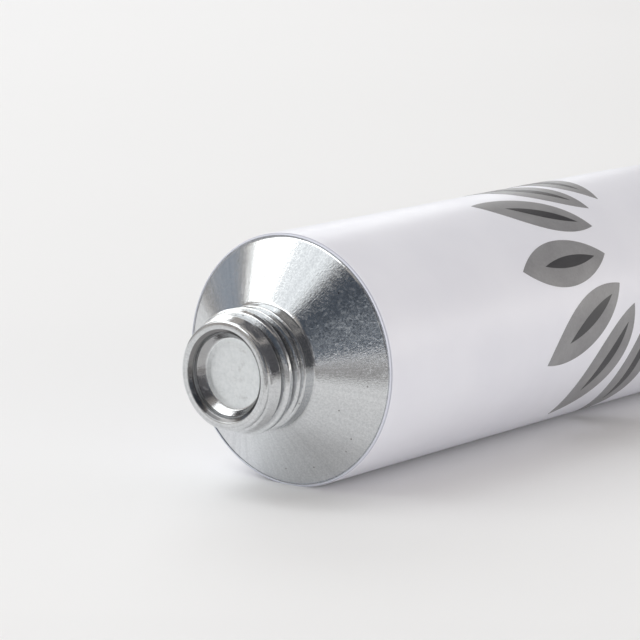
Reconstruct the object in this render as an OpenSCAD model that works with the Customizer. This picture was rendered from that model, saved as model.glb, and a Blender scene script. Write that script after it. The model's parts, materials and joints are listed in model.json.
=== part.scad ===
// Collapsible aluminium tube lying on its side: a screw neck sealed by a membrane, a conical shoulder,
// a round body coated with white enamel and a flattened, folded end.
// The mouth looks along -X and the folded end lies at +X. The part stands on z = 0.

/* [Body] */
// Outer diameter of the coated body
body_d = 25; // [22:0.5:32]
// Length of the body from the edge of the shoulder to the folded end
body_len = 120; // [105:1:150]
// Length of the body that stays round, from the edge of the shoulder
round_len = 60; // [45:1:70]
// Rounding where the shoulder turns into the body
edge_r = 0.35; // [0.2:0.05:0.8]
// Thickness of the white enamel
enamel_t = 0.1; // [0.06:0.02:0.2]
// Width of the flat spot that the soft wall rests on
rest_w = 4; // [3:0.5:5]

/* [Folded end] */
// Length of the folded band
fold_len = 5.5; // [4:0.5:8]
// Thickness of the folded band
fold_t = 1.6; // [1.2:0.1:2.4]
// Thickness of the flattened body where it enters the band
flat_t = 0.8; // [0.6:0.1:1]
// Number of pressed flutes across the band
flutes = 30; // [16:1:40]
// Depth of a pressed flute
flute_depth = 0.15; // [0.08:0.01:0.25]
// Plain margin at each end of the flutes
flute_margin = 1.5; // [1:0.1:3]

/* [Shoulder and neck] */
// Height of the shoulder cone along the axis
shoulder_h = 3.6; // [2.5:0.1:5]
// Length of the neck from the shoulder to the mouth
neck_len = 6.2; // [5.6:0.1:9]
// Outer diameter of the thread and of the plain collar behind it
neck_d = 12.2; // [11.6:0.1:14]
// Outer diameter of the lip at the mouth
lip_d = 10.5; // [10.2:0.1:10.6]
// Length of the lead-in cone from the lip to the full thread
lead_len = 2.4; // [1.5:0.1:3]
// Bevel on the outer and front edge of the lip
lip_bevel = 0.12; // [0.05:0.01:0.3]

/* [Thread] */
// Distance between two turns of the thread
pitch = 1.5; // [1.25:0.05:1.75]
// Depth of the thread groove
thread_depth = 0.8; // [0.5:0.05:0.85]
// Width of the groove at its root
root_w = 0.24; // [0.1:0.02:0.3]
// Slope of the groove's sides, in degrees from the axis
flank_angle = 66; // [60:1:72]
// Height of the bevel along the crest
crest_bevel = 0.13; // [0.05:0.01:0.2]
// Length of the plain collar between the thread and the shoulder
collar_len = 1.45; // [1:0.05:1.8]
// Width of the ring groove that the thread runs out into
relief_w = 0.7; // [0.65:0.05:0.9]
// Depth of that ring groove
relief_depth = 0.45; // [0.4:0.05:0.6]

/* [Mouth] */
// Diameter of the mouth at the front face
mouth_d = 9.1; // [8.6:0.1:9.4]
// Diameter of the bore behind the mouth's chamfer
bore_d = 8.24; // [7.6:0.02:8.4]
// Depth of the chamfer at the mouth
mouth_chamfer = 0.31; // [0.1:0.01:0.5]
// Length of the straight wall of the bore
bore_len = 0.56; // [0.3:0.02:1]
// Diameter of the flat membrane that seals the mouth
membrane_d = 6.98; // [6:0.02:7.2]
// Depth of the sloping ring between the bore and the membrane
ring_depth = 0.65; // [0.3:0.05:0.8]

/* [Print] */
// Distance from the shoulder to the foot of the printed fan
print_foot = 47; // [40:1:50]
// Turn of the printed fan from the top towards the front, in degrees
print_turn = 58; // [30:1:80]
// Thickness of the printed ink
ink_t = 0.05; // [0.04:0.01:0.1]
// Number of large leaves in the fan
leaves = 7; // [3:1:7]
// Angle between neighbouring leaves
leaf_step = 27; // [22:1:30]
// Length of a large leaf
leaf_len = 15; // [10:1:18]
// Width of a large leaf
leaf_w = 5.2; // [3:0.1:6]
// Distance from the fan's foot to a large leaf
leaf_gap = 7.5; // [6:0.5:10]
// Length of the dark vein in a leaf
vein_len = 9; // [5:0.5:12]
// Width of the dark vein in a leaf
vein_w = 1.3; // [0.8:0.1:2]
// Distance from a leaf's foot to its vein
vein_gap = 2; // [1:0.5:4]

/* [Hidden] */
$fn = 96;
sections = 64;          // points around a section of the flattening body
rings = 12;             // sections along the flattening body
turn_steps = 40;        // steps of the thread in one turn
arc_steps = 5;          // steps of a rounded edge
leaf_facets = 360;      // facets of the large circle that bounds a leaf
seam = 0.02;            // the flattening body starts this far inside the round one
taper_power = 1.45;     // how late the body flattens
spread_power = 1.4;     // how fast a flattened section spreads
shell_reach = 3;        // how far a cutter reaches past the ink

body_r = body_d / 2;
wall_r = body_r - enamel_t;
rest_h = sqrt(pow(body_r, 2) - pow(rest_w / 2, 2));
flat_half = PI * body_r / 2;
fold_start = body_len - fold_len;
fold_tilt = asin(rest_h / norm([flat_half, fold_t / 2])) - atan(fold_t / 2 / flat_half);

mouth_s = -shoulder_h - neck_len;
shoulder_x = -(body_len + mouth_s) / 2;
neck_r = neck_d / 2;
lip_r = lip_d / 2;
root_r = neck_r - thread_depth;
bore_s = mouth_s + mouth_chamfer;
ring_s = bore_s + bore_len;
membrane_s = ring_s + ring_depth;

// Angle of the shoulder's outward normal, measured from the axis, so that the cone meets the rounding
edge_centre = [wall_r - edge_r, edge_r];
cone_rise = wall_r - edge_r - neck_r;
cone_run = shoulder_h + edge_r;
edge_turn = 180 - atan2(cone_run, cone_rise) + asin(edge_r / norm([cone_rise, cone_run]));

crest_bevel_run = 0.13; // width of the bevel along the crest
groove_rise = 0.15;     // the thread's cutter ends this far outside the crest
groove_start = -60;
runout_turn = 180;
runout_rise = 0.07;     // the groove ends this far above the ring groove's floor
runout_lift = thread_depth - relief_depth + runout_rise;
flank_run = (thread_depth - crest_bevel) / tan(flank_angle);
relief_s = -shoulder_h - collar_len - relief_w / 2;
groove_end = 360 * (relief_s - mouth_s) / pitch;

// A point on the tube: s along the axis from the shoulder's edge, r from the axis, turn from the top to the front
function on_tube(s, r, turn) = [s, -r * sin(turn), r * cos(turn)];

// Points of a rounding about a centre (r, s), from one angle to another
function arc_points(centre, radius, from, to) =
    [for (i = [0 : arc_steps])
        let (a = from + (to - from) * i / arc_steps)
        [centre[0] + radius * sin(a), centre[1] + radius * cos(a)]];

// Half width of a flattened section whose half height is given, with the same girth as the round body
function spread(half_h) = body_r + (flat_half - body_r) * pow(1 - pow(half_h / body_r, 2), spread_power);

// One section of the flattening body, at the share u of its length, drawn in by inset
function section(u, inset) =
    let (
        s = round_len + (fold_start - round_len) * u,
        half_h = body_r + (flat_t / 2 - body_r) * pow(u, taper_power),
        a = spread(half_h) - inset,
        b = half_h - inset
    )
    [for (i = [0 : sections - 1])
        let (
            turn = 360 * i / sections,
            across = a * cos(turn),
            up = b * sin(turn),
            y = -across * cos(fold_tilt) - up * sin(fold_tilt),
            z = -across * sin(fold_tilt) + up * cos(fold_tilt)
        )
        [s, y, max(z, inset - rest_h)]];

function taper_points(inset) = [for (k = [0 : rings - 1]) each section(k / (rings - 1), inset)];

// Triangles between neighbouring rings of points; base is the first point's index
function side_faces(count, rows, base, outward) =
    [for (k = [0 : rows - 2], i = [0 : count - 1])
        let (
            j = (i + 1) % count,
            p = base + k * count + i,
            q = base + k * count + j,
            p2 = p + count,
            q2 = q + count
        )
        each (outward ? [[p, q, q2], [p, q2, p2]] : [[p, q2, q], [p, p2, q2]])];

// Lay a shape drawn about the Z axis along the tube
module along_axis() {
    rotate([0, 90, 0]) children();
}

// Move the shape from the shoulder's own frame to its place above the table
module placed() {
    translate([shoulder_x, 0, rest_h]) children();
}

// The half space above a flat spot that lies depth below the axis
module above_flat(depth) {
    translate([mouth_s - 1, -2 * body_r, -depth]) cube([body_len - mouth_s + 2, 4 * body_r, 4 * body_r]);
}

// Solid flattening stretch of the body
module taper(inset) {
    last = (rings - 1) * sections;
    polyhedron(
        points = taper_points(inset),
        faces = concat(
            side_faces(sections, rings, 0, true),
            [[for (i = [0 : sections - 1]) sections - 1 - i]],
            [[for (i = [0 : sections - 1]) last + i]]
        )
    );
}

// Thin shell round the flattening stretch of the body
module taper_shell(outer, inner) {
    base = rings * sections;
    last = (rings - 1) * sections;
    polyhedron(
        points = concat(taper_points(outer), taper_points(inner)),
        faces = concat(
            side_faces(sections, rings, 0, true),
            side_faces(sections, rings, base, false),
            [for (i = [0 : sections - 1])
                let (j = (i + 1) % sections)
                each [[i, base + i, base + j], [i, base + j, j]]],
            [for (i = [0 : sections - 1])
                let (j = (i + 1) % sections, p = last + i, q = last + j)
                each [[p, q, base + q], [p, base + q, base + p]]]
        )
    );
}

// Lay an outline drawn as [across, up] on the folded end and give it a length along the axis
module in_fold(from, to) {
    translate([from, 0, 0])
        rotate([fold_tilt, 0, 0])
            rotate([90, 0, 90]) linear_extrude(to - from) children();
}

module fold_plain(inset) {
    square([2 * (flat_half - inset), fold_t - 2 * inset], center = true);
}

// Outline of the flattened body where it enters the band
module fold_entry(inset) {
    polygon([for (i = [0 : sections - 1])
        let (turn = 360 * i / sections)
        [(flat_half - inset) * cos(turn), (flat_t / 2 - inset) * sin(turn)]]);
}

module fold_fluted() {
    run = 2 * (flat_half - flute_margin);
    step = run / flutes;
    half = fold_t / 2;
    edge = [for (i = [0 : flutes - 1])
        let (x = -run / 2 + i * step)
        each [[x, half], [x + step / 2, half - flute_depth]]];
    top = concat([[-flat_half, half]], edge, [[run / 2, half], [flat_half, half]]);
    bottom = [for (i = [1 : len(top)]) [top[len(top) - i][0], -top[len(top) - i][1]]];
    polygon(concat(top, bottom));
}

// Bare metal outline of the neck, shoulder and round body, as [radius, place along the axis]
module metal_outline() {
    relief_floor = relief_w / 3;
    polygon(concat(
        [
            [0, membrane_s],
            [membrane_d / 2, membrane_s],
            [bore_d / 2, ring_s],
            [bore_d / 2, bore_s],
            [mouth_d / 2, mouth_s],
            [lip_r - lip_bevel, mouth_s],
            [lip_r, mouth_s + lip_bevel],
            [neck_r, mouth_s + lead_len],
            [neck_r, relief_s - relief_w / 2],
            [neck_r - relief_depth, relief_s - relief_floor / 2],
            [neck_r - relief_depth, relief_s + relief_floor / 2],
            [neck_r, relief_s + relief_w / 2],
            [neck_r, -shoulder_h]
        ],
        arc_points(edge_centre, edge_r, edge_turn, 90),
        [[wall_r, round_len], [0, round_len]]
    ));
}

module enamel_outline() {
    polygon(concat(
        arc_points(edge_centre, edge_r, 90, edge_turn),
        arc_points(edge_centre, edge_r + enamel_t, edge_turn, 90),
        [[body_r, round_len], [wall_r, round_len]]
    ));
}

// The helical groove that leaves the thread standing
module thread_groove() {
    steps = ceil((groove_end - groove_start) / 360 * turn_steps);
    root_half = root_w / 2;
    flank_half = root_half + flank_run;
    top_half = flank_half + crest_bevel_run * (crest_bevel + groove_rise) / crest_bevel;
    profile = [
        [-top_half, neck_r + groove_rise],
        [-flank_half, neck_r - crest_bevel],
        [-root_half, root_r],
        [root_half, root_r],
        [flank_half, neck_r - crest_bevel],
        [top_half, neck_r + groove_rise]
    ];
    count = len(profile);
    points = [for (k = [0 : steps])
        let (
            turn = groove_start + (groove_end - groove_start) * k / steps,
            lift = max(0, 1 - (groove_end - turn) / runout_turn) * runout_lift
        )
        for (c = profile) on_tube(mouth_s + pitch * turn / 360 + c[0], c[1] + lift, turn)];
    polyhedron(
        points = points,
        faces = concat(
            side_faces(count, steps + 1, 0, false),
            [[for (i = [0 : count - 1]) i]],
            [[for (i = [1 : count]) steps * count + count - i]]
        )
    );
}

// Pointed oval leaf that starts at the origin and runs along +X
module leaf(length, width) {
    r = (pow(length / 2, 2) + pow(width / 2, 2)) / width;
    intersection() {
        translate([length / 2, width / 2 - r]) circle(r, $fn = leaf_facets);
        translate([length / 2, r - width / 2]) circle(r, $fn = leaf_facets);
    }
}

// Lay a flat outline as ink on the round body, at the place of leaf number k of the fan.
// The outline runs along +X from the leaf's foot.
module in_leaf(k) {
    angle = (k - (leaves - 1) / 2) * leaf_step;
    middle = leaf_gap + leaf_len / 2;
    turn = print_turn + middle * sin(angle) / body_r * 180 / PI;
    intersection() {
        along_axis() difference() {
            cylinder(h = round_len, r = body_r + ink_t);
            translate([0, 0, -1]) cylinder(h = round_len + 2, r = body_r);
        }
        translate([print_foot - middle * cos(angle), 0, 0])
            rotate([turn, 0, 0])
                linear_extrude(body_r + shell_reach)
                    rotate(180 + angle) translate([-leaf_len / 2, 0]) children();
    }
}

// One aluminium piece: neck with thread, mouth and membrane, shoulder, body and folded end
module tube() {
    color("silver") placed() {
        difference() {
            intersection() {
                along_axis() rotate_extrude() metal_outline();
                above_flat(rest_h - enamel_t);
            }
            thread_groove();
        }
        taper(enamel_t + seam);
        in_fold(fold_start, fold_start + enamel_t) fold_entry(enamel_t + seam);
        in_fold(fold_start + enamel_t, body_len - enamel_t) fold_plain(enamel_t + flute_depth);
    }
}

module white_enamel() {
    color("white") placed() {
        intersection() {
            along_axis() rotate_extrude() enamel_outline();
            above_flat(rest_h);
        }
        taper_shell(seam, enamel_t + seam);
        difference() {
            in_fold(fold_start, body_len) fold_fluted();
            in_fold(fold_start - shell_reach, fold_start + enamel_t) fold_entry(enamel_t + seam);
            in_fold(fold_start + enamel_t, body_len - enamel_t) fold_plain(enamel_t + flute_depth);
        }
    }
}

module grey_print() {
    color("gray") placed()
        for (k = [0 : leaves - 1])
            in_leaf(k) difference() {
                leaf(leaf_len, leaf_w);
                translate([vein_gap, 0]) leaf(vein_len, vein_w);
            }
}

module dark_print() {
    color("dimgray") placed()
        for (k = [0 : leaves - 1])
            in_leaf(k) translate([vein_gap, 0]) leaf(vein_len, vein_w);
}

tube();
white_enamel();
grey_print();
dark_print();
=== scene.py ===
import json
import math

import bpy
from mathutils import Matrix, Vector


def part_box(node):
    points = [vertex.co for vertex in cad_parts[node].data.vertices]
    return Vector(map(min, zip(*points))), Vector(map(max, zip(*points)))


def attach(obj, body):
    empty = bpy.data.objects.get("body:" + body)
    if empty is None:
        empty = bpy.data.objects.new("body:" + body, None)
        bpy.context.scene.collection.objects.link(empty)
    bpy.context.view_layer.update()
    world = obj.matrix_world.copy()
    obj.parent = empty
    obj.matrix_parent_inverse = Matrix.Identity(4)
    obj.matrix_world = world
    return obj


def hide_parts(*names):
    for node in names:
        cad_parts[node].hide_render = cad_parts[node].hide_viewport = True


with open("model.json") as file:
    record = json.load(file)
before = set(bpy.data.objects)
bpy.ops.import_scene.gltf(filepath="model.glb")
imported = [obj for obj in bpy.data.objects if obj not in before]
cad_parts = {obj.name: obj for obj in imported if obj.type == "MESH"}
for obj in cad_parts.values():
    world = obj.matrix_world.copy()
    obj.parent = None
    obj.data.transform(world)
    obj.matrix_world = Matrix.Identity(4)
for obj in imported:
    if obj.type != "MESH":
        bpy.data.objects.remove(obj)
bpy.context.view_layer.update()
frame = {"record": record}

# Sizes of the tube, in millimetres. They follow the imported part.
MM = 0.001
mouth_mount = next(m for m in frame["record"]["mounts"] if m["name"] == "mouth")
tube_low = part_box("tube")[0]
coat_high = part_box("white_enamel")[1]

BODY_R = 12.5
COAT_T = 0.1
FLAT_T = 0.8
FOLD_T = 1.6
FOLD_LEN = 5.5
SHOULDER_H = 3.6
NECK_LEN = 6.2
NECK_R = 6.1
ROUND_LEN = 60.0
EDGE_R = 0.35
PITCH = 1.5
THREAD_DEPTH = 0.8
COLLAR_LEN = 1.45
RUNOUT_LEN = 0.7
SEAL_R = 3.4

# Steps round the tube, and how near two points are joined as one
COLUMNS = 289
WELD = 0.0004

# Places along the tube count from the shoulder's edge towards the fold
REST_H = mouth_mount["pos_m"][2] / MM
MOUTH_S = -SHOULDER_H - NECK_LEN
RELIEF_S = -SHOULDER_H - COLLAR_LEN - RUNOUT_LEN / 2
SHOULDER_X = tube_low.x / MM - MOUTH_S
BODY_LEN = coat_high.x / MM - SHOULDER_X
FOLD_START = BODY_LEN - FOLD_LEN
FLAT_HALF = math.pi * BODY_R / 2
FOLD_TILT = math.asin(REST_H / math.hypot(FLAT_HALF, FOLD_T / 2)) - math.atan(FOLD_T / 2 / FLAT_HALF)
cos_tilt, sin_tilt = math.cos(FOLD_TILT), math.sin(FOLD_TILT)


class Formulas:
    """A node tree that is written as plain formulas."""

    def put(self, socket, value):
        if isinstance(value, bpy.types.NodeSocket):
            self.tree.links.new(value, socket)
        else:
            socket.default_value = value

    def node(self, kind, **settings):
        made = self.tree.nodes.new(kind)
        for key, value in settings.items():
            setattr(made, key, value)
        return made

    def math(self, operation, *terms):
        made = self.node("ShaderNodeMath", operation=operation)
        for socket, term in zip(made.inputs, terms):
            self.put(socket, term)
        return made.outputs[0]

    def add(self, a, b):
        return self.math("ADD", a, b)

    def sub(self, a, b):
        return self.math("SUBTRACT", a, b)

    def mul(self, a, b):
        return self.math("MULTIPLY", a, b)

    def div(self, a, b):
        return self.math("DIVIDE", a, b)

    def vector(self, *terms):
        made = self.node("ShaderNodeCombineXYZ")
        for socket, term in zip(made.inputs, terms):
            self.put(socket, term)
        return made.outputs[0]

    def parts(self, vector):
        made = self.node("ShaderNodeSeparateXYZ")
        self.put(made.inputs[0], vector)
        return made.outputs


class Rule(Formulas):
    """A geometry node tree with named inputs for its sizes."""

    def __init__(self, name, inputs):
        self.tree = bpy.data.node_groups.new(name, "GeometryNodeTree")
        face = self.tree.interface
        face.new_socket("Geometry", in_out="INPUT", socket_type="NodeSocketGeometry")
        for label, value in inputs.items():
            socket = face.new_socket(label, in_out="INPUT", socket_type="NodeSocketFloat")
            socket.default_value = value
        face.new_socket("Geometry", in_out="OUTPUT", socket_type="NodeSocketGeometry")
        self.given = self.node("NodeGroupInput")

    def __getitem__(self, label):
        return self.given.outputs[label]

    def stored(self, name):
        made = self.node("GeometryNodeInputNamedAttribute", data_type="FLOAT")
        made.inputs["Name"].default_value = name
        return made.outputs["Attribute"]

    def end(self, geometry, position, material):
        """Close the tree: points in place and in metres, doubles joined, as real geometry that wears the material."""
        placed = self.node("GeometryNodeSetPosition")
        self.put(placed.inputs["Geometry"], geometry)
        self.put(placed.inputs["Position"], position)
        welded = self.node("GeometryNodeMergeByDistance")
        self.put(welded.inputs["Geometry"], placed.outputs[0])
        welded.inputs["Distance"].default_value = WELD
        scaled = self.node("GeometryNodeTransform")
        self.put(scaled.inputs["Geometry"], welded.outputs[0])
        scaled.inputs["Scale"].default_value = (MM, MM, MM)
        realized = self.node("GeometryNodeRealizeInstances")
        self.put(realized.inputs[0], scaled.outputs[0])
        painted = self.node("GeometryNodeSetMaterial")
        self.put(painted.inputs["Geometry"], realized.outputs[0])
        painted.inputs["Material"].default_value = material
        out = self.node("NodeGroupOutput")
        self.put(out.inputs[0], painted.outputs[0])


def grow(name, rule, start, inputs, sharp):
    """Run a rule on a starting mesh and return the result as a plain mesh object."""
    piece = bpy.data.objects.new(name, start)
    bpy.context.scene.collection.objects.link(piece)
    modifier = piece.modifiers.new(rule.tree.name, "NODES")
    modifier.node_group = rule.tree
    for item in rule.tree.interface.items_tree:
        if item.in_out == "INPUT" and item.name in inputs:
            modifier[item.identifier] = float(inputs[item.name])
    bpy.context.view_layer.update()
    graph = bpy.context.evaluated_depsgraph_get()
    mesh = bpy.data.meshes.new_from_object(piece.evaluated_get(graph), depsgraph=graph)
    mesh.name = name
    piece.modifiers.remove(modifier)
    piece.data = mesh
    mesh.shade_smooth()
    mesh.set_sharp_from_angle(angle=math.radians(sharp))
    return piece


def profile_mesh(name, rows):
    """The rows of a swept skin as loose points: x is the place along the axis, y the radius.
    Each row also keeps how far it lies inside the coat's outer face, and 0 or 1 for closed or open."""
    mesh = bpy.data.meshes.new(name)
    mesh.from_pydata([(row[0], row[1], 0) for row in rows], [], [])
    inset = mesh.attributes.new("inset", "FLOAT", "POINT")
    opened = mesh.attributes.new("opened", "FLOAT", "POINT")
    for k, row in enumerate(rows):
        inset.data[k].value = row[2]
        opened.data[k].value = row[3]
    return mesh


def skin_rule(material):
    """The skin of a tube: its rows turn about the axis, flatten towards the fold and carry the thread's groove."""
    rule = Rule("tube_skin", {
        "columns": COLUMNS, "rows": 10, "groove depth": 0, "groove pitch": PITCH, "groove root": 0.24,
        "flank slope": 2.2, "crest round": 0.2, "root round": 0.1, "groove start": -60, "groove end": 1000,
        "run-out turn": 180, "run-out lift": 0.42, "hand wear": 0, "flat drop": REST_H, "seed": 3,
    })
    columns, rows = rule["columns"], rule["rows"]
    grid = rule.node("GeometryNodeMeshGrid")
    rule.put(grid.inputs["Vertices X"], rows)
    rule.put(grid.inputs["Vertices Y"], columns)
    index = rule.node("GeometryNodeInputIndex").outputs[0]
    row = rule.math("FLOOR", rule.div(rule.add(index, 0.5), columns))
    column = rule.sub(index, rule.mul(row, columns))
    turn = rule.mul(rule.div(column, rule.sub(columns, 1)), 360)

    def from_row(value, kind):
        sample = rule.node("GeometryNodeSampleIndex", data_type=kind, domain="POINT")
        rule.put(sample.inputs["Geometry"], rule["Geometry"])
        rule.put(sample.inputs["Value"], value)
        rule.put(sample.inputs["Index"], rule.add(row, 0.25))
        return sample.outputs[0]

    place = rule.parts(from_row(rule.node("GeometryNodeInputPosition").outputs[0], "FLOAT_VECTOR"))
    along, radius = place[0], place[1]
    inset = from_row(rule.stored("inset"), "FLOAT")
    opened = from_row(rule.stored("opened"), "FLOAT")

    # The helical groove: its nearest turn, and the radius of its wall there
    shift = rule.sub(rule.sub(along, MOUTH_S), rule.mul(rule.div(turn, 360), rule["groove pitch"]))
    lap = rule.math("ROUND", rule.div(shift, rule["groove pitch"]))
    aside = rule.math("ABSOLUTE", rule.sub(shift, rule.mul(lap, rule["groove pitch"])))
    helix = rule.add(turn, rule.mul(lap, 360))
    left = rule.div(rule.sub(rule["groove end"], helix), rule["run-out turn"])
    lift = rule.mul(rule.math("MAXIMUM", rule.sub(1, left), 0), rule["run-out lift"])
    past = rule.math("MAXIMUM", rule.math("GREATER_THAN", helix, rule["groove end"]),
                     rule.math("LESS_THAN", helix, rule["groove start"]))
    flank = rule.mul(rule.sub(aside, rule.div(rule["groove root"], 2)), rule["flank slope"])
    wall = rule.math("SMOOTH_MAX", flank, 0, rule["root round"])
    floor_r = rule.add(rule.sub(NECK_R, rule["groove depth"]), rule.add(lift, rule.mul(past, 5)))
    groove_r = rule.add(floor_r, wall)
    cut = rule.math("SMOOTH_MIN", radius, groove_r, rule["crest round"])
    on_neck = rule.mul(rule.math("LESS_THAN", along, -SHOULDER_H), rule.math("GREATER_THAN", radius, 4.9))
    threaded = rule.mul(on_neck, rule.math("GREATER_THAN", rule["groove depth"], 0.01))
    skin_r = rule.add(rule.mul(threaded, cut), rule.mul(rule.sub(1, threaded), radius))

    # The flattening: a section spreads as it gets lower, with the same girth
    share = rule.math("MINIMUM", rule.math("MAXIMUM", rule.div(
        rule.sub(along, ROUND_LEN), FOLD_START - ROUND_LEN), 0), 1)
    half_high = rule.add(BODY_R, rule.mul(rule.math("POWER", share, 1.45), FLAT_T / 2 - BODY_R))
    flatness = rule.sub(1, rule.math("POWER", rule.div(half_high, BODY_R), 2))
    spreading = rule.math("POWER", rule.math("MAXIMUM", flatness, 0), 1.4)
    half_wide = rule.add(BODY_R, rule.mul(spreading, FLAT_HALF - BODY_R))
    inward = rule.sub(BODY_R, skin_r)
    a = rule.mul(rule.sub(half_wide, inward), opened)
    b = rule.mul(rule.sub(half_high, inward), opened)
    angle = rule.math("RADIANS", rule.sub(90 + math.degrees(FOLD_TILT), turn))
    across = rule.mul(a, rule.math("COSINE", angle))
    up = rule.mul(b, rule.math("SINE", angle))
    y = rule.sub(rule.mul(across, -cos_tilt), rule.mul(up, sin_tilt))
    z = rule.add(rule.mul(across, -sin_tilt), rule.mul(up, cos_tilt))
    low = rule.sub(inset, rule["flat drop"])
    on_body = rule.math("GREATER_THAN", along, -0.6)
    resting = rule.mul(on_body, rule.math("LESS_THAN", z, low))
    z = rule.add(rule.mul(resting, low), rule.mul(rule.sub(1, resting), z))

    # Small unevenness that handling leaves on the thin metal
    where = rule.vector(along, y, z)
    noise = rule.node("ShaderNodeTexNoise", noise_dimensions="4D")
    rule.put(noise.inputs["Vector"], where)
    rule.put(noise.inputs["W"], rule["seed"])
    noise.inputs["Scale"].default_value = 0.9
    noise.inputs["Detail"].default_value = 2
    bulge = rule.mul(rule.mul(rule.sub(noise.outputs[0], 0.5), rule["hand wear"]), on_neck)
    swell = rule.add(1, rule.div(bulge, 6))
    moved = rule.vector(rule.add(along, SHOULDER_X), rule.mul(y, swell), rule.add(rule.mul(z, swell), REST_H))
    rule.end(grid.outputs["Mesh"], moved, material)
    return rule


def between(start, end, count):
    """Evenly spaced rows from start, which is left out, to end."""
    return [tuple(a + (b - a) * (k + 1) / count for a, b in zip(start, end)) for k in range(count)]


def outline(corners):
    """Rows along an outline of corners (place, radius, inset, opened, rows to reach it)."""
    rows = [corners[0][:4]]
    for before, after in zip(corners, corners[1:]):
        rows += between(before[:4], after[:4], after[4])
    return rows


def edge_row(radius, turn, inset):
    """The row round the body's front edge at one angle of the outward normal."""
    angle = math.radians(turn)
    centre_r = BODY_R - COAT_T - EDGE_R
    return EDGE_R + radius * math.cos(angle), centre_r + radius * math.sin(angle), inset, 1.0


def edge_rows(radius, start, end, count, inset):
    """Rows round the body's front edge, from one angle of the outward normal to another."""
    return [edge_row(radius, start + (end - start) * k / count, inset) for k in range(count + 1)]


# Angle of the shoulder's outward normal from the axis
cone_rise = BODY_R - COAT_T - EDGE_R - NECK_R
cone_run = SHOULDER_H + EDGE_R
CONE_TURN = 180 - math.degrees(math.atan2(cone_run, cone_rise)) + math.degrees(
    math.asin(EDGE_R / math.hypot(cone_rise, cone_run)))

# Where the fine line round the coat's front ring lies on its rounding
RING_TURN = 116


def metal_rows():
    """Bare metal from the membrane in the mouth out over the neck and shoulder and on inside the coat."""
    bore_s, ring_s, disc_s = MOUTH_S + 0.31, MOUTH_S + 0.87, MOUTH_S + 1.52
    rows = outline([
        (disc_s, 0.0, 0, 1),
        (disc_s, 3.0, 0, 1, 8),
        (disc_s + 0.005, 3.05, 0, 1, 2),
        (disc_s, 3.12, 0, 1, 2),
        (disc_s, 3.34, 0, 1, 2),
        (disc_s - 0.02, 3.46, 0, 1, 2),
        (disc_s - 0.08, 3.54, 0, 1, 2),
        (ring_s + 0.06, 4.05, 0, 1, 6),
        (ring_s - 0.02, 4.1, 0, 1, 2),
        (ring_s - 0.1, 4.12, 0, 1, 2),
        (bore_s + 0.05, 4.12, 0, 1, 4),
        (bore_s - 0.02, 4.15, 0, 1, 2),
        (MOUTH_S + 0.07, 4.46, 0, 1, 4),
        (MOUTH_S + 0.015, 4.54, 0, 1, 3),
        (MOUTH_S, 4.64, 0, 1, 2),
        (MOUTH_S + 0.005, 4.88, 0, 1, 2),
        (MOUTH_S + 0.03, 5.04, 0, 1, 3),
        (MOUTH_S + 0.07, 5.16, 0, 1, 3),
        (MOUTH_S + 0.14, 5.25, 0, 1, 3),
        (MOUTH_S + 0.26, 5.31, 0, 1, 3),
        (MOUTH_S + 2.4, NECK_R, 0, 1, 56),
        (RELIEF_S - 0.35, NECK_R, 0, 1, 40),
        (RELIEF_S - 0.29, NECK_R - 0.04, 0, 1, 3),
        (RELIEF_S - 0.13, NECK_R - 0.4, 0, 1, 6),
        (RELIEF_S - 0.06, NECK_R - 0.44, 0, 1, 3),
        (RELIEF_S + 0.06, NECK_R - 0.44, 0, 1, 3),
        (RELIEF_S + 0.13, NECK_R - 0.4, 0, 1, 3),
        (RELIEF_S + 0.28, NECK_R - 0.06, 0, 1, 6),
        (RELIEF_S + 0.38, NECK_R, 0, 1, 3),
        (-SHOULDER_H - 0.12, NECK_R, 0, 1, 10),
        (-SHOULDER_H - 0.03, NECK_R + 0.03, 0, 1, 2),
        (-SHOULDER_H + 0.06, NECK_R + 0.12, 0, 1, 2),
    ])
    edge = edge_rows(EDGE_R, CONE_TURN, 90, 6, COAT_T)
    rows += between(rows[-1], edge[0], 24)
    # A fine seam where the bare metal meets the coat
    last = rows.pop()
    out_s, out_r = math.cos(math.radians(CONE_TURN)), math.sin(math.radians(CONE_TURN))
    for back, sunk in ((0.11, 0), (0.08, 0.03), (0.05, 0.05), (0.02, 0.05)):
        rows.append((last[0] - back * out_r - sunk * out_s, last[1] + back * out_s - sunk * out_r, 0, 1))
    rows += edge
    wall = BODY_R - COAT_T
    rows += outline([edge[-1] + (0,), (ROUND_LEN, wall, COAT_T, 1, 6), (FOLD_START + 1, wall, COAT_T, 1, 30),
                     (FOLD_START + 1, wall, COAT_T, 0, 1)])[1:]
    return rows


def coat_rows():
    """The coat's outer face from the shoulder's edge to the fold, and back along its inner face."""
    skin, under = BODY_R, BODY_R - COAT_T + 0.01
    steps, dip_depth, dip_half = 40, 0.05, 9
    outer = []
    for k in range(steps + 1):
        turn = CONE_TURN - 2 + (92 - CONE_TURN) * k / steps
        aside = abs(turn - RING_TURN)
        dip = dip_depth * math.cos(math.radians(90 * aside / dip_half)) if aside < dip_half else 0.0
        outer.append(edge_row(EDGE_R + COAT_T - dip, turn, dip))
    rows = list(outer)
    rows += outline([outer[-1] + (0,), (ROUND_LEN, skin, 0, 1, 40), (FOLD_START + 0.6, skin, 0, 1, 90)])[1:]
    inset = COAT_T - 0.01
    rows += outline([
        (FOLD_START + 0.6, under, inset, 1), (ROUND_LEN, under, inset, 1, 30), (EDGE_R, under, inset, 1, 6)])
    rows += edge_rows(EDGE_R + 0.01, 90, CONE_TURN - 2, 6, inset)[1:]
    rows.append(outer[0])
    return rows


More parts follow.
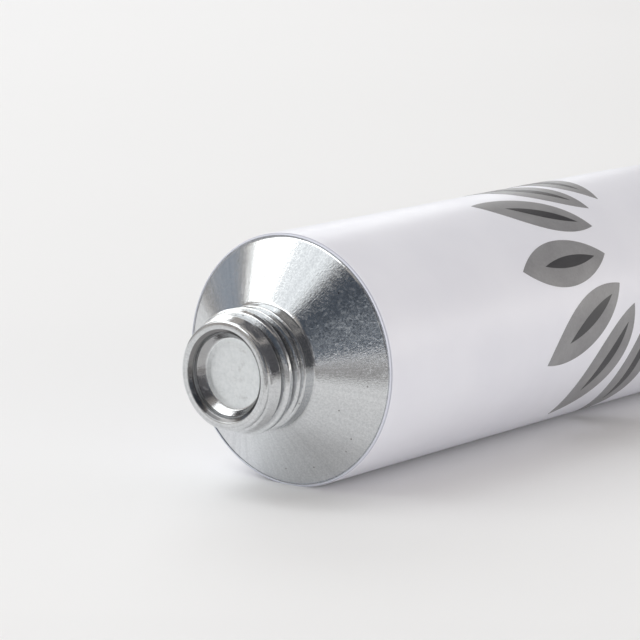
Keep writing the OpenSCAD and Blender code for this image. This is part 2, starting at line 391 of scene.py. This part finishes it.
class Shade(Formulas):
    """A node material, written from the surface back."""

    def __init__(self, name, **surface):
        self.material = bpy.data.materials.new(name)
        self.material.use_nodes = True
        self.tree = self.material.node_tree
        self.surface = self.tree.nodes["Principled BSDF"]
        self.place = self.node("ShaderNodeTexCoord").outputs["Object"]
        self.wear(**surface)

    def wear(self, **inputs):
        for key, value in inputs.items():
            self.put(self.surface.inputs[key.replace("_", " ")], value)
        return self.material

    def noise(self, scale, detail=2.0, rough=0.5, vector=None, stretch=(1, 1, 1)):
        mapping = self.node("ShaderNodeMapping")
        self.put(mapping.inputs["Vector"], vector or self.place)
        mapping.inputs["Scale"].default_value = stretch
        made = self.node("ShaderNodeTexNoise")
        self.put(made.inputs["Vector"], mapping.outputs[0])
        made.inputs["Scale"].default_value = scale
        made.inputs["Detail"].default_value = detail
        made.inputs["Roughness"].default_value = rough
        return made.outputs[0]

    def spots(self, scale, size, rare):
        """Small round marks, one in some of the cells of a random pattern."""
        made = self.node("ShaderNodeTexVoronoi")
        self.put(made.inputs["Vector"], self.place)
        made.inputs["Scale"].default_value = scale
        chance = self.node("ShaderNodeSeparateColor")
        self.put(chance.inputs[0], made.outputs["Color"])
        near = self.spread(made.outputs["Distance"], size, size * 1.6, 1, 0)
        return self.mul(near, self.math("GREATER_THAN", chance.outputs[0], rare))

    def spread(self, value, low, high, to_low=0, to_high=1):
        """The value stretched from one range to another, and held at its ends."""
        made = self.node("ShaderNodeMapRange")
        labels = ("Value", "From Min", "From Max", "To Min", "To Max")
        for label, term in zip(labels, (value, low, high, to_low, to_high)):
            self.put(made.inputs[label], term)
        return made.outputs[0]

    def blend(self, share, first, second):
        made = self.node("ShaderNodeMix", data_type="RGBA")
        self.put(made.inputs["Factor"], share)
        self.put(made.inputs[6], first)
        self.put(made.inputs[7], second)
        return made.outputs[2]

    def round_place(self):
        """The place along the tube, the distance from its axis, and the direction from the axis."""
        x, y, z = self.parts(self.place)
        z = self.sub(z, REST_H * MM)
        radius = self.math("SQRT", self.add(self.mul(y, y), self.mul(z, z)))
        near = self.math("MAXIMUM", radius, 0.0002)
        return x, radius, self.vector(self.div(y, near), self.div(z, near))

    def bump(self, height, distance, strength, under=None):
        made = self.node("ShaderNodeBump")
        made.inputs["Strength"].default_value = strength
        made.inputs["Distance"].default_value = distance
        self.put(made.inputs["Height"], height)
        if under is not None:
            self.put(made.inputs["Normal"], under)
        return made.outputs[0]


def drawn_aluminium():
    """Bright drawn metal with streaks, grain, scuffs and pits. The shoulder is a little duller than the neck."""
    shade = Shade("drawn_aluminium", Metallic=1.0)
    add, sub, mul, spread, noise, blend = shade.add, shade.sub, shade.mul, shade.spread, shade.noise, shade.blend
    along, radius, direction = shade.round_place()
    streaks = noise(20, 3, 0.6, vector=direction)
    fine_streaks = noise(75, 2, 0.6, vector=direction)
    cloud = noise(240, 3)
    grain = noise(5200, 3, 0.65)
    tone = add(mul(streaks, 0.35), mul(grain, 0.65))
    colour = blend(spread(tone, 0.38, 0.62), (0.57, 0.585, 0.60, 1), (0.74, 0.755, 0.765, 1))
    scuffs = spread(noise(4200, 3, 0.65, stretch=(1, 0.35, 0.9)), 0.51, 0.62)
    scuffs = mul(scuffs, spread(cloud, 0.25, 0.7, 0.7, 1))

    def within(low, high, soft=0.1):
        """One between two radii, and nothing outside them."""
        inside = spread(radius, (low - soft / 2) * MM, (low + soft / 2) * MM)
        return mul(inside, spread(radius, (high - soft / 2) * MM, (high + soft / 2) * MM, 1, 0))

    # The seal across the mouth is paler and duller, with faint smudges
    behind_lip = sub(along, (SHOULDER_X + MOUTH_S) * MM)
    on_seal = mul(within(-1, SEAL_R), spread(behind_lip, 1.3 * MM, 1.4 * MM))
    smudges = mul(on_seal, spread(noise(900, 4, 0.7, stretch=(1, 0.6, 1)), 0.57, 0.68))
    mottle = spread(noise(2600, 3, 0.6), 0.35, 0.65)
    colour = blend(on_seal, colour, blend(mottle, (0.78, 0.815, 0.83, 1), (0.86, 0.89, 0.905, 1)))
    colour = blend(mul(smudges, 0.35), colour, (0.45, 0.46, 0.46, 1))
    colour = blend(mul(shade.spots(700, 0.05, 0.66), 0.7), colour, (0.16, 0.15, 0.14, 1))

    # Painted shade: the mouth's wall and the sloping ring round the seal are darkened, as shade inside the recess
    wall_painted_shade = mul(within(4.07, 4.5, 0.06), spread(behind_lip, 0.9 * MM, 0.95 * MM, 1, 0))
    colour = blend(mul(wall_painted_shade, 0.9), colour, (0.16, 0.155, 0.155, 1))
    ring_painted_shade = mul(within(SEAL_R + 0.1, 4.07), shade.math("LESS_THAN", behind_lip, 2 * MM))
    colour = blend(mul(ring_painted_shade, 0.6), colour, (0.26, 0.25, 0.25, 1))

    # Painted shade: the thread's grooves are darkened where shade falls in them
    lead_r = add(mul(behind_lip, 0.366), 5.22 * MM)
    depth = sub(shade.math("MINIMUM", lead_r, NECK_R * MM), radius)
    on_neck = mul(shade.math("LESS_THAN", along, (SHOULDER_X - SHOULDER_H) * MM),
                  shade.math("GREATER_THAN", radius, 4.9 * MM))
    groove_painted_shade = mul(spread(depth, 0.2 * MM, 0.6 * MM, 0, 0.7), on_neck)
    colour = blend(groove_painted_shade, colour, (0.13, 0.13, 0.14, 1))

    rough = spread(cloud, 0.3, 0.7, 0.055, 0.085)
    on_shoulder = spread(radius, (NECK_R + 0.1) * MM, (NECK_R + 0.7) * MM)
    speckle = mul(on_shoulder, spread(grain, 0.36, 0.64, 0, 0.07))
    for more in (speckle, mul(scuffs, 0.12), mul(on_seal, 0.26)):
        rough = add(rough, more)
    relief = shade.bump(fine_streaks, 0.000012, 0.35)
    relief = shade.bump(grain, 0.000016, 0.7, under=relief)
    return shade.wear(Base_Color=colour, Roughness=rough, Normal=relief)


def gloss_enamel():
    """White enamel with a faint lilac cast and slow ripples. Its front ring has a painted bluish highlight, behind a
    fine line of painted shade.
    """
    shade = Shade("gloss_enamel")
    cloud = shade.noise(90, 3)
    ripple = shade.noise(900, 2)
    along = shade.round_place()[0]
    colour = shade.blend(shade.spread(cloud, 0.35, 0.65), (0.715, 0.72, 0.785, 1), (0.755, 0.76, 0.82, 1))
    line_x = (SHOULDER_X + EDGE_R + (EDGE_R + COAT_T) * math.cos(math.radians(RING_TURN))) * MM
    past_line = shade.sub(along, line_x)
    # Painted highlight: the ring's rounding is tinted bluish towards the front
    colour = shade.blend(shade.spread(past_line, -0.04 * MM, 0.04 * MM, 0.85, 0), colour, (0.56, 0.58, 0.66, 1))
    # Painted shade: a fine dark line round the ring, in its shallow dip
    ring_line_painted_shade = shade.spread(shade.math("ABSOLUTE", past_line), 0.03 * MM, 0.08 * MM, 0.8, 0)
    colour = shade.blend(ring_line_painted_shade, colour, (0.30, 0.30, 0.36, 1))
    rough = shade.spread(ripple, 0.3, 0.7, 0.34, 0.42)
    relief = shade.bump(ripple, 0.00001, 0.25)
    return shade.wear(Base_Color=colour, Roughness=rough, Normal=relief)


def printed_ink(name, dark, light):
    """Satin ink with a slightly uneven tone."""
    shade = Shade(name)
    cloud = shade.noise(260, 4, 0.6)
    dots = shade.noise(3800, 2)
    tone = shade.add(shade.mul(cloud, 0.7), shade.mul(dots, 0.3))
    colour = shade.blend(shade.spread(tone, 0.35, 0.65), dark, light)
    rough = shade.spread(dots, 0.3, 0.7, 0.34, 0.46)
    relief = shade.bump(dots, 0.000006, 0.3)
    return shade.wear(Base_Color=colour, Roughness=rough, Normal=relief)


def pale_floor():
    """A pale matt sheet for the tube to lie on."""
    shade = Shade("pale_paper", Roughness=0.75)
    cloud = shade.noise(3, 2)
    fibre = shade.noise(1400, 2)
    colour = shade.blend(cloud, (0.825, 0.825, 0.835, 1), (0.865, 0.865, 0.875, 1))
    relief = shade.bump(fibre, 0.00002, 0.2)
    return shade.wear(Base_Color=colour, Normal=relief)


aluminium = drawn_aluminium()
enamel = gloss_enamel()
grey_ink = printed_ink("grey_ink", (0.20, 0.20, 0.21, 1), (0.27, 0.27, 0.28, 1))
dark_ink = printed_ink("dark_ink", (0.03, 0.03, 0.035, 1), (0.05, 0.05, 0.055, 1))

rows = metal_rows()
groove_end = 360 * (RELIEF_S - MOUTH_S) / PITCH
metal = grow("tube_metal", skin_rule(aluminium), profile_mesh("metal_rows", rows), {
    "rows": len(rows), "groove depth": THREAD_DEPTH, "groove end": groove_end, "hand wear": 0.05,
}, sharp=60)
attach(metal, "root")
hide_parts("tube")

rows = coat_rows()
coat = grow("enamel_coat", skin_rule(enamel), profile_mesh("coat_rows", rows), {"rows": len(rows)}, sharp=50)


def fold_ring():
    """The fold band's section: flat, with rounded sides and a row of pressed flutes on both faces."""
    across_steps, round_steps = 480, 8
    flutes, depth, margin, side = 30, 0.15, 1.5, 0.3
    run = 2 * (FLAT_HALF - margin)

    def top(x):
        groove = 0.0
        if abs(x) < run / 2:
            groove = depth * (0.5 - 0.5 * math.cos(2 * math.pi * (x + run / 2) / (run / flutes)))
        edge = FLAT_HALF - abs(x)
        corner = math.sqrt(max(0.0, 1 - ((side - edge) / side) ** 2)) if edge < side else 1.0
        return (FOLD_T / 2 - groove) * corner

    inner = FLAT_HALF - side
    rounds = [FLAT_HALF - side * (1 - math.cos(math.pi / 2 * k / round_steps)) for k in range(round_steps)]
    flat = [-inner + 2 * inner * k / across_steps for k in range(across_steps + 1)]
    xs = [-x for x in rounds] + flat + rounds[::-1]
    return [(x, top(x)) for x in xs[:-1]] + [(x, -top(x)) for x in reversed(xs[1:])]


def fold_band(material):
    """The folded end: its section drawn along the tube, with softened ends and a face of quads on each."""
    ring = fold_ring()
    count = len(ring)
    soft = [(0.0, 0.12), (0.04, 0.05), (0.12, 0.0)]
    stations = soft + [(FOLD_LEN - a, d) for a, d in reversed(soft)]
    points, faces = [], []
    for s, drawn in stations:
        for across, up in ring:
            a = across * (FLAT_HALF - drawn) / FLAT_HALF
            u = up * (FOLD_T / 2 - drawn) / (FOLD_T / 2)
            y = -a * cos_tilt - u * sin_tilt
            z = -a * sin_tilt + u * cos_tilt
            points.append(((SHOULDER_X + FOLD_START + s) * MM, y * MM, (z + REST_H) * MM))
    for k in range(len(stations) - 1):
        near, far = k * count, (k + 1) * count
        for i in range(count):
            j = (i + 1) % count
            faces.append((near + i, near + j, far + j, far + i))
    for base, flip in ((0, False), ((len(stations) - 1) * count, True)):
        for i in range(count // 2):
            quad = [base + i, base + i + 1, base + (count - i - 1) % count, base + (count - i) % count]
            quad = [q for n, q in enumerate(quad) if q not in quad[:n]]
            if len(quad) > 2:
                faces.append(tuple(quad if flip else reversed(quad)))
    mesh = bpy.data.meshes.new("fold_band")
    mesh.from_pydata(points, [], faces)
    mesh.materials.append(material)
    mesh.shade_smooth()
    made = bpy.data.objects.new("fold_band", mesh)
    bpy.context.scene.collection.objects.link(made)
    return made


band = fold_band(enamel)
for piece in (coat, band):
    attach(piece, "root")
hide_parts("white_enamel")


def leaf_patch(name, length, width, steps_long, steps_wide, thickness):
    """One leaf as a thin closed patch, flat, from its foot along +X."""
    radius = ((length / 2) ** 2 + (width / 2) ** 2) / width
    points, faces = [], []
    for side in (0, 1):
        for i in range(steps_long + 1):
            x = length * (0.5 - 0.5 * math.cos(math.pi * i / steps_long))
            half = math.sqrt(max(0.0, radius ** 2 - (x - length / 2) ** 2)) - (radius - width / 2)
            for j in range(steps_wide + 1):
                y = max(half, 0.0) * (2 * j / steps_wide - 1)
                points.append((x, y, side * thickness))
    across = steps_wide + 1
    layer = (steps_long + 1) * across
    for i in range(steps_long):
        for j in range(steps_wide):
            a = i * across + j
            quad = (a, a + across, a + across + 1, a + 1)
            faces.append(tuple(reversed(quad)))
            faces.append(tuple(q + layer for q in quad))
    for i in range(steps_long):
        for j, flip in ((0, False), (steps_wide, True)):
            a, b = i * across + j, (i + 1) * across + j
            quad = (a, a + layer, b + layer, b)
            faces.append(tuple(reversed(quad)) if flip else quad)
    mesh = bpy.data.meshes.new(name)
    mesh.from_pydata(points, [], faces)
    return mesh


def fan_rule(material):
    """A fan of equal patches laid round the body: each turns about the fan's foot and bends over the tube."""
    rule = Rule("leaf_fan", {
        "leaves": 7, "step": 27, "foot": 47, "turn": 58, "gap": 7.5, "middle": 15, "lowest": BODY_R - 0.02,
    })
    line = rule.node("GeometryNodeMeshLine", mode="OFFSET")
    rule.put(line.inputs["Count"], rule["leaves"])
    line.inputs["Offset"].default_value = (0, 0, 0)
    number = rule.node("GeometryNodeInputIndex").outputs[0]
    copies = rule.node("GeometryNodeInstanceOnPoints")
    rule.put(copies.inputs["Points"], line.outputs[0])
    rule.put(copies.inputs["Instance"], rule["Geometry"])
    marked = rule.node("GeometryNodeStoreNamedAttribute", data_type="FLOAT", domain="INSTANCE")
    marked.inputs["Name"].default_value = "leaf"
    rule.put(marked.inputs["Geometry"], copies.outputs[0])
    rule.put(marked.inputs["Value"], number)
    real = rule.node("GeometryNodeRealizeInstances")
    rule.put(real.inputs[0], marked.outputs[0])

    # Where a leaf's points go: turned about the foot, then rolled round the body
    leaf = rule.stored("leaf")
    angle = rule.mul(rule.sub(leaf, rule.div(rule.sub(rule["leaves"], 1), 2)), rule["step"])
    radians = rule.math("RADIANS", angle)
    cos_a, sin_a = rule.math("COSINE", radians), rule.math("SINE", radians)
    flat = rule.parts(rule.node("GeometryNodeInputPosition").outputs[0])
    out = rule.sub(flat[0], rule.div(rule["middle"], 2))
    p = rule.sub(rule.mul(cos_a, out), rule.mul(sin_a, flat[1]))
    q = rule.add(rule.mul(sin_a, out), rule.mul(cos_a, flat[1]))
    reach = rule.add(rule["gap"], rule.div(rule["middle"], 2))
    lie_r = rule.add(rule["lowest"], flat[2])
    lift = rule.math("SQRT", rule.sub(rule.mul(lie_r, lie_r), rule.mul(q, q)))
    x = rule.sub(rule.sub(rule["foot"], rule.mul(reach, cos_a)), p)
    roll = rule.add(rule["turn"], rule.mul(rule.div(rule.mul(reach, sin_a), BODY_R), 180 / math.pi))
    roll = rule.math("RADIANS", roll)
    cos_r, sin_r = rule.math("COSINE", roll), rule.math("SINE", roll)
    side = rule.mul(q, -1)
    y = rule.sub(rule.mul(side, cos_r), rule.mul(lift, sin_r))
    z = rule.add(rule.mul(side, sin_r), rule.mul(lift, cos_r))
    rule.end(real.outputs[0], rule.vector(rule.add(x, SHOULDER_X), y, rule.add(z, REST_H)), material)
    return rule


grey = grow("grey_leaves", fan_rule(grey_ink), leaf_patch("grey_leaf", 15, 5.2, 60, 24, 0.045), {}, sharp=50)
dark = grow("dark_veins", fan_rule(dark_ink), leaf_patch("dark_vein", 9, 1.3, 40, 10, 0.055), {
    "gap": 9.5, "middle": 9}, sharp=50)
for piece, node, slot in ((grey, "grey_print", "grey_ink"), (dark, "dark_print", "dark_ink")):
    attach(piece, "root")
    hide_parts(node)

# Floor
ground_mesh = bpy.data.meshes.new("floor")
reach = 3.0
corners = [(-reach, -reach, 0), (reach, -reach, 0), (reach, reach, 0), (-reach, reach, 0)]
ground_mesh.from_pydata(corners, [], [(0, 1, 2, 3)])
ground_mesh.materials.append(pale_floor())
ground = bpy.data.objects.new("floor", ground_mesh)
bpy.context.scene.collection.objects.link(ground)

# Camera
camera = bpy.data.objects.new("camera", bpy.data.cameras.new("camera"))
bpy.context.scene.collection.objects.link(camera)
bpy.context.scene.camera = camera
camera.data.lens = 174.4
camera.data.sensor_width = 36
camera.data.clip_end = 20
right, up = Vector((0.6185, -0.7858, 0.0)), Vector((0.1401, 0.1103, 0.9840))
forward = Vector((0.7732, 0.6086, -0.1783))
turned = Matrix((right, up, -forward)).transposed().to_4x4()
eye = Vector((SHOULDER_X - 230.1, -185.0, REST_H + 57.5)) * MM
camera.matrix_world = Matrix.Translation(eye) @ turned

# Light
scene = bpy.context.scene
scene.view_settings.view_transform = "Standard"
world = bpy.data.worlds.new("studio")
scene.world = world
world.use_nodes = True
nodes, links = world.node_tree.nodes, world.node_tree.links
nodes.clear()
path = nodes.new("ShaderNodeLightPath")
room = nodes.new("ShaderNodeBackground")
room.inputs["Color"].default_value = (1.0, 0.935, 0.88, 1)
room.inputs["Strength"].default_value = 0.44
white = nodes.new("ShaderNodeBackground")
white.inputs["Color"].default_value = (0.87, 0.86, 0.88, 1)
white.inputs["Strength"].default_value = 1
mixed = nodes.new("ShaderNodeMixShader")
output = nodes.new("ShaderNodeOutputWorld")
links.new(path.outputs["Is Camera Ray"], mixed.inputs[0])
links.new(room.outputs[0], mixed.inputs[1])
links.new(white.outputs[0], mixed.inputs[2])
links.new(mixed.outputs[0], output.inputs[0])


def seen_at(azimuth, elevation, distance):
    """Place and facing of something that the shoulder sees at an azimuth from +X and an elevation, in degrees."""
    a, e = math.radians(azimuth), math.radians(elevation)
    direction = Vector((math.cos(a) * math.cos(e), math.sin(a) * math.cos(e), math.sin(e)))
    target = Vector((SHOULDER_X * MM, 0, REST_H * MM))
    facing = direction.to_track_quat("Z", "Y").to_matrix().to_4x4()
    return Matrix.Translation(target + direction * distance) @ facing


def softbox(name, azimuth, elevation, distance, width, height, radiance, colour):
    """A soft rectangular light that faces the tube."""
    lamp = bpy.data.lights.new(name, "AREA")
    lamp.shape = "RECTANGLE"
    lamp.size, lamp.size_y = width, height
    lamp.energy = radiance * math.pi * width * height
    lamp.color = colour
    holder = bpy.data.objects.new(name, lamp)
    scene.collection.objects.link(holder)
    holder.matrix_world = seen_at(azimuth, elevation, distance)


def dark_card(name, place, width, height, tone):
    """A dark panel that only reflections see."""
    mesh = bpy.data.meshes.new(name)
    w, h = width / 2, height / 2
    mesh.from_pydata([(-w, -h, 0), (w, -h, 0), (w, h, 0), (-w, h, 0)], [], [(0, 1, 2, 3)])
    shade = Shade(name + "_cloth", Base_Color=tone, Roughness=0.9)
    mesh.materials.append(shade.material)
    card = bpy.data.objects.new(name, mesh)
    scene.collection.objects.link(card)
    card.matrix_world = place
    card.visible_camera = card.visible_diffuse = False
    card.visible_shadow = card.visible_transmission = False


# Name, azimuth, elevation, distance, width, height, radiance and colour of each light
LIGHTS = [
    ("window_bright", 121, 40, 1.5, 0.56, 1.05, 1.9, (0.97, 1.0, 1.0)),
    ("window_side", 153, 42, 1.5, 0.70, 0.95, 0.80, (0.88, 0.95, 1.0)),
    ("back_light", 48, 26, 1.5, 0.9, 0.9, 2.0, (0.95, 0.985, 1.0)),
    ("middle_light", 78, 14, 1.5, 0.4, 0.5, 0.6, (0.88, 0.95, 1.0)),
    ("top_light", 95, 62, 1.4, 0.8, 0.8, 1.3, (0.95, 0.985, 1.0)),
    ("front_low", -118, 11, 1.4, 1.1, 0.5, 3.0, (1.0, 0.98, 0.95)),
    ("low_light", -37, 7, 1.3, 0.6, 0.3, 2.3, (1.0, 0.97, 0.92)),
    ("left_light", 152, 66, 1.4, 0.8, 0.6, 2.3, (0.95, 0.985, 1.0)),
    ("near_light", 210, 14, 1.4, 0.6, 0.5, 4.4, (0.96, 0.985, 1.0)),
]
for light in LIGHTS:
    softbox(*light)
dark_card("dark_side", seen_at(201, 21, 1.3), 1.35, 1.0, (0.072, 0.086, 0.11, 1))
dark_card("dark_front", seen_at(-105, 29, 1.0), 2.0, 1.12, (0.10, 0.10, 0.11, 1))
dark_card("dark_top", seen_at(-14, 50, 1.2), 1.1, 1.2, (0.09, 0.09, 0.10, 1))
dark_card("grey_back", seen_at(96, 11, 1.4), 0.36, 0.55, (0.36, 0.40, 0.46, 1))

# A grey sheet just above the floor, beside the mouth
side_turn = Matrix.Rotation(math.radians(-145), 4, "Z")
side_place = Matrix.Translation(side_turn @ Vector((0.167, 0, 0)) + Vector((SHOULDER_X * MM, 0, 0.0006)))
dark_card("grey_side", side_place @ side_turn, 0.24, 0.5, (0.34, 0.33, 0.33, 1))
